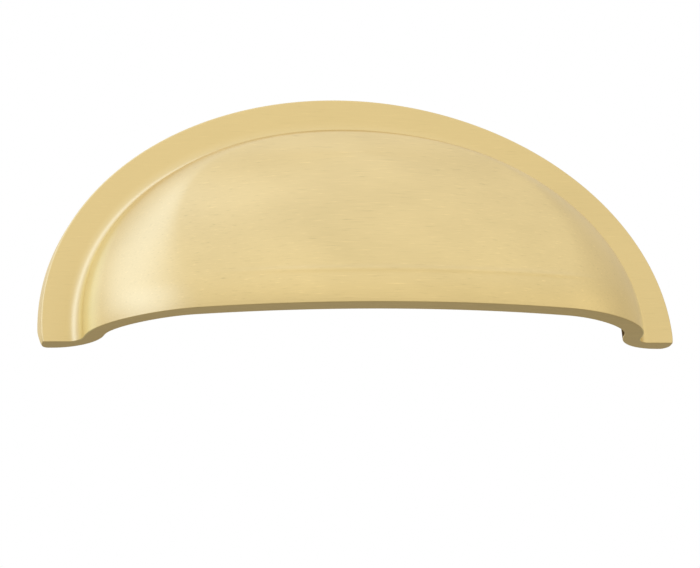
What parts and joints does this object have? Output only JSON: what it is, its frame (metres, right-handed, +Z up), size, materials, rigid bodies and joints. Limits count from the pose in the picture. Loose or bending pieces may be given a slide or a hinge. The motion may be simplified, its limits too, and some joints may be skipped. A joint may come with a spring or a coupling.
{
  "type": "drawer pull",
  "caption": "Half-oval cup pull for a drawer front: a flanged hollow hood that fingers reach up into from below, fixed by machine screws from behind.",
  "frame": {"origin": "midway between the screw holes, on the back plane that lies against the drawer front", "axes": "+X along the line of the screw holes, +Y out of the back into the drawer front, +Z up; the finger opening faces down and the domed front faces -Y"},
  "size_m": [0.105, 0.0217, 0.0417],
  "materials": {
    "satin_brass": "satin, brushed along the length"
  },
  "bodies": {
    "root": {"cup_pull": "satin_brass"}
  },
  "joints": []
}
